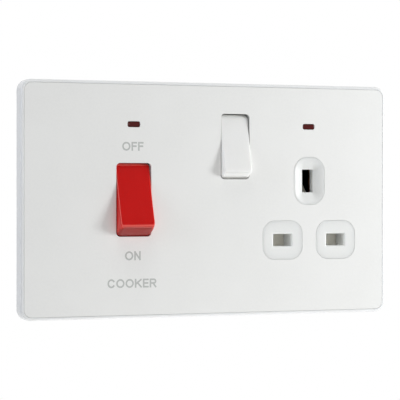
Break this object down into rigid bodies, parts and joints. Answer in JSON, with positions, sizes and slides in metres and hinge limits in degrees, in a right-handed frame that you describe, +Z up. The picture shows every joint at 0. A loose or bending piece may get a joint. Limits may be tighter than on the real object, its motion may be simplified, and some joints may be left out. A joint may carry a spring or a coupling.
{
  "type": "cooker control unit",
  "caption": "Wide white wall plate with a red double-pole cooker rocker, a switched three-pin socket outlet with its own rocker, and neon indicators.",
  "frame": {"origin": "midway between the two wall-box screw holes, on the wall plane at the back of the mounting frame", "axes": "+X to the right along the plate, +Z up, -Y out of the wall towards the user"},
  "size_m": [0.146, 0.0364, 0.086],
  "materials": {
    "white_enamel": "satin white coat on sheet steel",
    "white_plastic": "moulded, gloss",
    "red_plastic": "moulded, gloss",
    "moulding_white": "moulded, satin",
    "base_grey": "moulded, matt",
    "zinc_steel": "zinc plated",
    "brass": "rolled and stamped",
    "copper": "copper alloy spring strip",
    "plated_screw": "passivated",
    "spring_steel": "drawn wire",
    "nylon": "natural nylon",
    "shutter_beige": "moulded, matt",
    "neon_red": "clear, tinted dark red",
    "lamp_glass": "clear",
    "resistor_ceramic": "lacquered",
    "lead_wire": "tinned"
  },
  "bodies": {
    "unit": {"mounting_frame": "zinc_steel", "switch_moulding": "moulding_white", "socket_moulding": "moulding_white", "rear_base": "base_grey", "line_fulcrum": "brass", "line_fixed_contact": "brass", "neutral_fulcrum": "brass", "neutral_fixed_contact": "brass", "neutral_link": "brass", "line_link": "brass", "socket_fulcrum": "brass", "socket_fixed_contact": "brass", "line_clip": "brass", "neutral_clip": "brass", "earth_clip": "brass", "earth_bar": "brass", "earth_strap": "zinc_steel", "cooker_neon_lens": "neon_red", "socket_neon_lens": "neon_red", "cooker_neon_lamp": "lamp_glass", "socket_neon_lamp": "lamp_glass", "cooker_lamp_resistor": "resistor_ceramic", "socket_lamp_resistor": "resistor_ceramic", "cooker_neutral_lead": "lead_wire", "cooker_line_lead": "lead_wire", "socket_neutral_lead": "lead_wire", "socket_line_lead": "lead_wire", "terminal_screws": "plated_screw", "housing_screws": "plated_screw", "shutter_spring": "spring_steel", "line_in_terminal": "brass", "line_out_terminal": "brass", "neutral_in_terminal": "brass", "neutral_out_terminal": "brass", "earth_in_terminal": "brass", "earth_out_terminal": "brass"},
    "plate": {"front_sheet": "white_enamel", "plate_surround": "white_plastic"},
    "cooker_rocker": {"cooker_rocker": "red_plastic", "line_plunger_spring": "spring_steel", "neutral_plunger_spring": "spring_steel"},
    "line_plunger": {"line_plunger": "nylon"},
    "neutral_plunger": {"neutral_plunger": "nylon"},
    "line_arm": {"line_arm": "copper"},
    "neutral_arm": {"neutral_arm": "copper"},
    "socket_rocker": {"socket_rocker": "white_plastic", "socket_plunger_spring": "spring_steel"},
    "socket_plunger": {"socket_plunger": "nylon"},
    "socket_arm": {"socket_arm": "copper"},
    "shutter": {"shutter": "shutter_beige"}
  },
  "joints": [
    {"name": "plate_pull", "type": "slide", "parent": "unit", "child": "plate", "axis": [0, -1, 0], "range_m": [0, 0.03]},
    {"name": "cooker_rocker_tilt", "type": "hinge", "parent": "unit", "child": "cooker_rocker", "pos_m": [-0.0302, -0.001, 0], "axis": [1, 0, 0], "range_deg": [0, 31]},
    {"name": "line_arm_tilt", "type": "hinge", "parent": "unit", "child": "line_arm", "pos_m": [-0.0302, 0.0111, 0], "axis": [1, 0, 0], "range_deg": [-16, 0]},
    {"name": "neutral_arm_tilt", "type": "hinge", "parent": "unit", "child": "neutral_arm", "pos_m": [-0.0302, 0.0111, 0], "axis": [1, 0, 0], "range_deg": [-16, 0]},
    {"name": "line_plunger_slide", "type": "slide", "parent": "cooker_rocker", "child": "line_plunger", "axis": [0, -0.9636, 0.2672], "range_m": [0, 0.0008], "stiffness_N_per_m": 500, "springref_m": -0.002, "deforming": ["line_plunger_spring"]},
    {"name": "neutral_plunger_slide", "type": "slide", "parent": "cooker_rocker", "child": "neutral_plunger", "axis": [0, -0.9636, 0.2672], "range_m": [0, 0.0008], "stiffness_N_per_m": 500, "springref_m": -0.002, "deforming": ["neutral_plunger_spring"]},
    {"name": "socket_rocker_tilt", "type": "hinge", "parent": "unit", "child": "socket_rocker", "pos_m": [0.0101, -0.0018, 0.01965], "axis": [1, 0, 0], "range_deg": [0, 24]},
    {"name": "socket_arm_tilt", "type": "hinge", "parent": "unit", "child": "socket_arm", "pos_m": [0.0101, 0.0103, 0.01965], "axis": [1, 0, 0], "range_deg": [-16, 0]},
    {"name": "socket_plunger_slide", "type": "slide", "parent": "socket_rocker", "child": "socket_plunger", "axis": [0, -0.9781, 0.2079], "range_m": [0, 0.0008], "stiffness_N_per_m": 500, "springref_m": -0.002, "deforming": ["socket_plunger_spring"]},
    {"name": "shutter_slide", "type": "slide", "parent": "unit", "child": "shutter", "axis": [0, 0, -1], "range_m": [0, 0.0066], "stiffness_N_per_m": 150, "springref_m": -0.003, "deforming": ["shutter_spring"]}
  ],
  "couplings": [
    {"joint": "line_arm_tilt", "follows": "cooker_rocker_tilt", "ratio": -0.51613},
    {"joint": "neutral_arm_tilt", "follows": "cooker_rocker_tilt", "ratio": -0.51613},
    {"joint": "socket_arm_tilt", "follows": "socket_rocker_tilt", "ratio": -0.66667}
  ]
}
